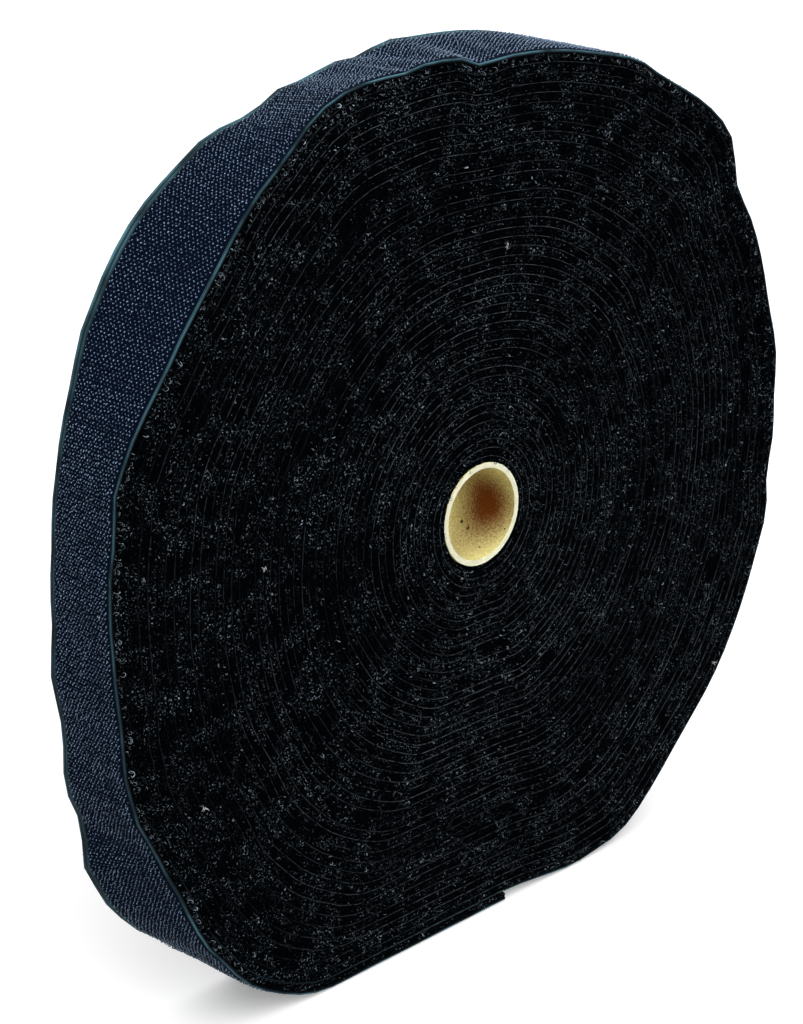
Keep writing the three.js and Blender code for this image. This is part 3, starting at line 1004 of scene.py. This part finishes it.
def lint_spots(winding, rng):
    """Threads of the specks of lint, each a flat tangle that stands out a little towards the open face."""
    tangle, flattened, towards_open = 0.25 * MM, np.array([1.0, 0.3, 1.0]), -0.4 * ACROSS
    threads = [row[3] for row in LINT]
    radius, y, angle = np.repeat([row[:3] for row in LINT], threads, axis=0).T
    count, a = len(radius), np.radians(angle)
    centre = np.stack([radius * np.cos(a), y, winding.axis_height / MM + radius * np.sin(a)], -1) * MM
    return {
        "place": centre + tangle * rng.standard_normal((count, 3)) * flattened,
        "out": rng.standard_normal((count, 3)) + towards_open,
        "lean": rng.standard_normal((count, 3)),
        "size": rng.uniform(1.4, 2.0, count),
        "tone": rng.uniform(0.6, 1.0, count),
    }


# Profiles across the tape, as rings of (share, y) corners


def flat_profile(top, bottom, half):
    """A flat web."""
    return [(top, -half), (bottom, -half), (bottom, half), (top, half)]


def pile_profile(winding, low, high):
    """The loop pile, which bulges out a little at both edges."""
    near = [(low + (high - low) * t, -winding.half_width - d * MM) for t, d in BULGE]
    far = [(low + (high - low) * t, winding.half_width + d * MM) for t, d in reversed(BULGE)]
    return near + far


def thread_profile(winding, share, y, thickness):
    """A round thread in the web's edge."""
    sides, radius = 5, thickness / 2
    ring = [2 * math.pi * i / sides for i in range(sides)]
    return [(share + radius * math.cos(a) / winding.pitch, y - radius * math.sin(a)) for a in ring]


def swept_pile(name, winding, rng, turns, low, high):
    """The loop pile along some turns, with uneven edges."""
    profile = pile_profile(winding, low, high)
    rough = PILE_ROUGHNESS * rng.standard_normal((len(turns), len(profile)))
    return swept(name, winding, turns, profile, [loop_pile()], rough=rough)


# Operators


class TAPEROLL_OT_core(bpy.types.Operator):
    """Adds the paperboard core and the strip that holds the tape's inner end"""

    bl_idname = "taperoll.core"
    bl_label = "Core"
    bl_options = {"REGISTER", "UNDO"}

    def execute(self, context):
        s = context.scene.tape_roll
        winding = Winding(s)
        rng = np.random.default_rng(3)
        made = {}
        for index, name in enumerate(("core_inner_ply", "core_middle_ply", "core_outer_ply")):
            inner = s.core.bore / 2 + index * (s.core.ply + s.core.ply_clearance)
            made[name] = (self.ply(name, inner, s, winding, rng), "paperboard")
        made["start_adhesive_strip"] = (self.strip(s, winding), "adhesive_strip")
        for name, (piece, slot) in made.items():
            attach(piece, "roll")
            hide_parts(name)
        return {"FINISHED"}

    def ply(self, name, inner, s, winding, rng):
        """One tube of paperboard: a ring drawn out along the core, thickened, with its cut edges eased."""
        sides, rings, glued = 144, 12, 0.9
        edge_ease, furry_depth, cut_depth, fur = 0.07 * MM, 0.1 * MM, 0.12 * MM, 0.03 * MM
        deselect()
        start = (0, -winding.half_width, winding.axis_height)
        bpy.ops.mesh.primitive_circle_add(
            vertices=sides, radius=inner, location=start, rotation=(math.radians(90), 0, 0)
        )
        ply = bpy.context.object
        ply.name = f"{name}_board"
        bpy.ops.object.transform_apply(location=True, rotation=True, scale=True)
        bpy.ops.object.mode_set(mode="EDIT")
        bpy.ops.mesh.select_all(action="SELECT")
        for _ in range(rings):
            bpy.ops.mesh.extrude_region_move(TRANSFORM_OT_translate={"value": (0, s.tape.width / rings, 0)})
        bpy.ops.mesh.select_all(action="SELECT")
        bpy.ops.mesh.normals_make_consistent(inside=False)
        bpy.ops.object.mode_set(mode="OBJECT")
        wall = ply.modifiers.new("wall", "SOLIDIFY")
        wall.thickness = s.core.ply + s.core.ply_clearance * glued
        wall.offset = 1.0
        ease = ply.modifiers.new("eased edge", "BEVEL")
        ease.width = edge_ease
        ease.segments = 2
        ease.limit_method = "ANGLE"
        for modifier in ("wall", "eased edge"):
            bpy.ops.object.modifier_apply(modifier=modifier)
        points = np.array([v.co for v in ply.data.vertices])
        edge = np.abs(points[:, 1]) > winding.half_width - furry_depth
        points[edge] += fur * rng.standard_normal((edge.sum(), 3))
        ply.data.vertices.foreach_set("co", points.astype(np.float32).ravel())
        ply.data.materials.append(core_board())
        ply.data.materials.append(cut_board())
        for face in ply.data.polygons:
            face.use_smooth = True
            face.material_index = int(abs(face.center.y) > winding.half_width - cut_depth)
        ply.data.set_sharp_from_angle(angle=math.radians(60))
        return ply

    def strip(self, s, winding):
        """The adhesive strip: a flat grid laid round the core, then thickened."""
        deselect()
        bpy.ops.mesh.primitive_grid_add(x_subdivisions=24, y_subdivisions=8, size=1)
        strip = bpy.context.object
        strip.name = "start_adhesive_paper"
        radius = winding.core_radius + s.core.strip_clearance
        for vertex in strip.data.vertices:
            angle = math.radians(winding.angle(0) + s.core.strip_arc * (vertex.co.x + 0.5))
            y = vertex.co.y * s.core.strip_width
            vertex.co = (radius * math.cos(angle), y, winding.axis_height + radius * math.sin(angle))
        wall = strip.modifiers.new("wall", "SOLIDIFY")
        wall.thickness = s.core.strip
        wall.offset = -1.0
        bpy.ops.object.modifier_apply(modifier="wall")
        bpy.ops.object.shade_smooth_by_angle(angle=math.radians(40))
        strip.data.materials.append(strip_paper())
        return strip


class TAPEROLL_OT_wound_tape(bpy.types.Operator):
    """Winds the tape from the core to the outermost turn"""

    bl_idname = "taperoll.wound_tape"
    bl_label = "Wound tape"
    bl_options = {"REGISTER", "UNDO"}

    def execute(self, context):
        s = context.scene.tape_roll
        winding = Winding(s)
        rng = np.random.default_rng(11)
        turns = winding.turns_between(0.0, winding.last_turn - 1)
        half = winding.half_width - DRAWN_IN
        ground = swept(
            "wound_ground",
            winding,
            winding.turns_between(0.0, winding.stretch("under_end")[0]),
            flat_profile(winding.ground_top, winding.ground_base, half),
            [bonding_film()],
        )
        pile = swept_pile("wound_loop_pile", winding, rng, turns, PILE_FOOT, winding.ground_base)
        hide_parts("wound_tape")
        bare = self.bare(winding, turns)[:, None]
        sunk, stands_out = 0.06, 0.2 * MM
        share, y = winding.ground_top - sunk, half + stands_out
        threads = []
        for side, name in FACES:
            profile = thread_profile(winding, share, side * y, s.tape.edge_thread)
            thread = swept(f"wound_edge_thread_{name}", winding, turns, profile, [edge_thread()], tone=bare)
            threads.append(thread)
        for piece in (ground, pile, *threads):
            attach(piece, "roll")
        return {"FINISHED"}

    def bare(self, winding, turns):
        """How far the edge thread lies bare: more near the core, over and under it, and in long streaks, and
        less at the left of the outer turns."""
        least, mean, near_core, over_core, in_streak, at_left = 0.04, 0.17, 0.2, 0.28, 0.12, 0.2
        angle = np.radians(winding.angle(turns))
        out = turns / winding.last_turn
        level = mean + near_core * (1 - out) + over_core * np.sin(angle) ** 2
        level += in_streak * waves(STREAKS, angle, turns)
        level -= at_left * np.clip(-np.cos(angle), 0, 1) * out
        return np.clip(level, least, 1.0)


class TAPEROLL_OT_hook_web(bpy.types.Operator):
    """Adds the hook web of the outermost turn, with its selvedges and hooks"""

    bl_idname = "taperoll.hook_web"
    bl_label = "Hook web"
    bl_options = {"REGISTER", "UNDO"}

    def execute(self, context):
        s = context.scene.tape_roll
        winding = Winding(s)
        rng = np.random.default_rng(23)
        hook = bent_filament("hook", s.tape.hook_wire, HOOK_PATH, taper=0.97)
        for where, (first, last) in LENGTHS.items():
            turns = winding.turns_between(*winding.stretch(where))
            drawn_in, lit = (DRAWN_IN, IN_THE_DARK) if where == "under_end" else (0.0, 1.0)
            profile, slots, tones = self.profile(s, winding, drawn_in, lit)
            finishes = [hook_ground(), selvedge_weave()]
            tones = np.outer(self.brightness(winding, turns), tones)
            web = swept(f"{where}_hook_ground", winding, turns, profile, finishes, slots, tone=tones)
            spots = hook_spots(winding, rng, first, last)
            if where == "outer_turn":
                for half in (0, 1):
                    chosen = {key: value[half::2] for key, value in spots.items()}
                    hooks = copies(f"{where}_hooks_{half + 1}", hook, chosen, hook_filament(), fade=3)
                    seat(hooks, where)
            else:
                hooks = copies(f"{where}_hooks", hook, spots, hook_filament(), fade=3, palette=PALETTE)
                web = join([web, hooks])
            seat(web, where, "hook_web" if where in LENGTH_NODES else None)
        bpy.data.objects.remove(hook)
        return {"FINISHED"}

    def brightness(self, winding, turns):
        """How far the selvedge is lit: less where the tape stands upright, more low down, near the floor."""
        mean, upright, near_floor, darkest, low_from = 0.85, 0.38, 1.3, np.radians(185), 0.45
        angle = np.radians(winding.angle(turns))
        low = np.clip(-np.sin(angle) - low_from, 0, 1)
        return mean - upright * np.cos(2 * (angle - darkest)) + near_floor * low

    def profile(self, s, winding, drawn_in, lit):
        """The ground across the tape, with ribs in both selvedges, a material for each face and a tone for
        each corner. It may be drawn in at its edges, and how far its selvedges are lit is a share."""
        half = winding.half_width - drawn_in
        heights = [winding.ground_top - depth * MM / winding.pitch for _, depth, _ in RIBS]
        near = [(height, t * s.tape.selvedge - half) for height, (t, *_) in zip(heights, RIBS)]
        far = [(height, half - t * s.tape.far_selvedge) for height, (t, *_) in zip(heights, RIBS)]
        lower = [(winding.ground_base, half), (winding.ground_base, -half)]
        ring = (near + far[::-1] + lower)[::-1]
        lower_tone = 0.1
        tones = [lit * tone for *_, tone in RIBS]
        tones = (tones + tones[::-1] + [lower_tone, lower_tone])[::-1]
        ground, selvedge = 0, 1
        ribs = [selvedge] * (len(RIBS) - 1)
        kinds = [ground, selvedge, *ribs, ground, *ribs, selvedge]
        return ring, kinds, tones


class TAPEROLL_OT_bond_film(bpy.types.Operator):
    """Adds the film between the webs of the outermost turn"""

    bl_idname = "taperoll.bond_film"
    bl_label = "Bond film"
    bl_options = {"REGISTER", "UNDO"}

    def execute(self, context):
        s = context.scene.tape_roll
        winding = Winding(s)
        ring = flat_profile(winding.ground_base, winding.film_base, winding.half_width - 0.1 * MM)
        for where in LENGTH_NODES:
            turns = winding.turns_between(*winding.stretch(where))
            film = swept(f"{where}_bond_film_layer", winding, turns, ring, [bonding_film()])
            seat(film, where, "bond_film")
        return {"FINISHED"}


class TAPEROLL_OT_loop_web(bpy.types.Operator):
    """Adds the loop pile of the outermost turn and the loose fibres on both faces"""

    bl_idname = "taperoll.loop_web"
    bl_label = "Loop web"
    bl_options = {"REGISTER", "UNDO"}

    def execute(self, context):
        s = context.scene.tape_roll
        winding = Winding(s)
        rng = np.random.default_rng(31)
        fibre = bent_filament("fibre", 0.125 * MM, FIBRE_PATH, taper=0.7)
        loop = bent_filament("loop", 0.12 * MM, LOOP_PATH, taper=1.0)
        self.piles(winding, rng, fibre, loop)
        kinds = ((fibre, "ends", s.fibres.ends, 3), (loop, "loops", s.fibres.loops, 1))
        innermost = 0.2
        for face, name in FACES:
            for shape, kind, count, parts in kinds:
                edges = winding.even_shares(innermost, winding.last_turn - 1, parts)
                for part, (start, end) in enumerate(zip(edges, edges[1:])):
                    spots = fuzz_spots(winding, rng, count // parts, start, end, face)
                    fibres = copies(f"{name}_face_fibre_{kind}_{part + 1}", shape, spots, loose_fibre())
                    seat(fibres, "roll")
        curl = bent_filament("curl", 0.1 * MM, CURL_PATH, taper=0.97)
        for face, name in FACES:
            spots = curl_spots(winding, rng, s.fibres.curls, face)
            seat(copies(f"{name}_face_curls", curl, spots, loose_fibre()), "roll")
        seat(copies("white_lint", fibre, lint_spots(winding, rng), white_lint()), "roll")
        for template in (fibre, loop, curl):
            bpy.data.objects.remove(template)
        return {"FINISHED"}

    def piles(self, winding, rng, fibre, loop):
        """The pile of each length, with fibres and loops on both edges."""
        fuzz_per_turn = 600
        for where in LENGTH_NODES:
            start, end = winding.stretch(where)
            turns = winding.turns_between(start, end)
            foot = PILE_FOOT if where == "outer_turn" else END_PILE_FOOT
            pile = swept_pile(f"{where}_loop_pile", winding, rng, turns, foot, winding.film_base)
            first, last = LENGTHS[where]
            count = int(fuzz_per_turn * (last - first))
            fuzz = []
            for shape in (fibre, loop):
                for face, _ in FACES:
                    spots = fuzz_spots(winding, rng, count, start, end, face)
                    fuzz.append(copies(f"{where}_fuzz", shape, spots, loose_fibre(), palette=PALETTE))
            seat(join([pile, *fuzz]), where, "loop_web")


class TAPEROLL_OT_stage(bpy.types.Operator):
    """Adds the floor, the light and the camera"""

    bl_idname = "taperoll.stage"
    bl_label = "Stage"
    bl_options = {"REGISTER", "UNDO"}

    def execute(self, context):
        deselect()
        bpy.ops.mesh.primitive_grid_add(x_subdivisions=4, y_subdivisions=4, size=12)
        floor = bpy.context.object
        floor.name = "studio_floor"
        floor.data.materials.append(studio_paper())
        self.lamp("key", towards=(-0.3, -0.9, 1.0), strength=2.2, spread=60)
        self.lamp("top", towards=(0.1, 0.3, 1.0), strength=1.5, spread=90)
        self.world(strength=0.3)
        self.camera()
        return {"FINISHED"}

    def lamp(self, name, towards, strength, spread):
        """A broad, even lamp far off in a direction, with its spread in degrees."""
        bpy.ops.object.light_add(type="SUN")
        lamp = bpy.context.object
        lamp.name = f"studio_{name}"
        lamp.data.energy = strength
        lamp.data.angle = math.radians(spread)
        lamp.rotation_mode = "QUATERNION"
        lamp.rotation_quaternion = Vector(towards).to_track_quat("Z", "Y")

    def world(self, strength):
        """Even white light all round, which shows as plain white behind the roll."""
        world = bpy.data.worlds.new("studio")
        bpy.context.scene.world = world
        world.use_nodes = True
        tree = world.node_tree
        add = partial(node, tree)
        levels = {"Value": seen_by_camera(add), "To Min": strength, "To Max": 1.0}
        background = tree.nodes["Background"]
        background.inputs["Color"].default_value = (1, 1, 1, 1)
        tree.links.new(add("MapRange", levels), background.inputs["Strength"])

    def camera(self):
        """The photograph's view, for a frame 803 wide and 1024 high."""
        focal_pixels, frame_height, sensor = 2675.0, 1024.0, 36.0
        bpy.ops.object.camera_add(location=(-0.4815, -0.4652, 0.3737))
        camera = bpy.context.object
        camera.data.sensor_width = sensor
        camera.data.lens = focal_pixels / frame_height * sensor
        camera.data.clip_start = 0.01
        camera.rotation_mode = "QUATERNION"
        camera.rotation_quaternion = Vector((0.6596, 0.6612, -0.3574)).to_track_quat("-Z", "Y")
        bpy.context.scene.camera = camera
        bpy.context.scene.view_settings.view_transform = "Standard"


OPERATORS = (
    TAPEROLL_OT_core,
    TAPEROLL_OT_wound_tape,
    TAPEROLL_OT_hook_web,
    TAPEROLL_OT_bond_film,
    TAPEROLL_OT_loop_web,
    TAPEROLL_OT_stage,
)


class TAPEROLL_PT_panel(bpy.types.Panel):
    """Lists the steps that dress the roll"""

    bl_idname = "TAPEROLL_PT_panel"
    bl_label = "Tape roll"
    bl_space_type = "VIEW_3D"
    bl_region_type = "UI"
    bl_category = "Tape roll"

    def draw(self, context):
        for operator in OPERATORS:
            self.layout.operator(operator.bl_idname)


CLASSES = (
    TapeSizes,
    RollSizes,
    CoreSizes,
    FibreCounts,
    RollColours,
    TapeRollSettings,
    *OPERATORS,
    TAPEROLL_PT_panel,
)


def register():
    for cls in CLASSES:
        bpy.utils.register_class(cls)
    bpy.types.Scene.tape_roll = PointerProperty(type=TapeRollSettings)


def unregister():
    del bpy.types.Scene.tape_roll
    for cls in reversed(CLASSES):
        bpy.utils.unregister_class(cls)


def main():
    register()
    bpy.ops.taperoll.core()
    bpy.ops.taperoll.wound_tape()
    bpy.ops.taperoll.hook_web()
    bpy.ops.taperoll.bond_film()
    bpy.ops.taperoll.loop_web()
    bpy.ops.taperoll.stage()


if __name__ == "__main__":
    main()
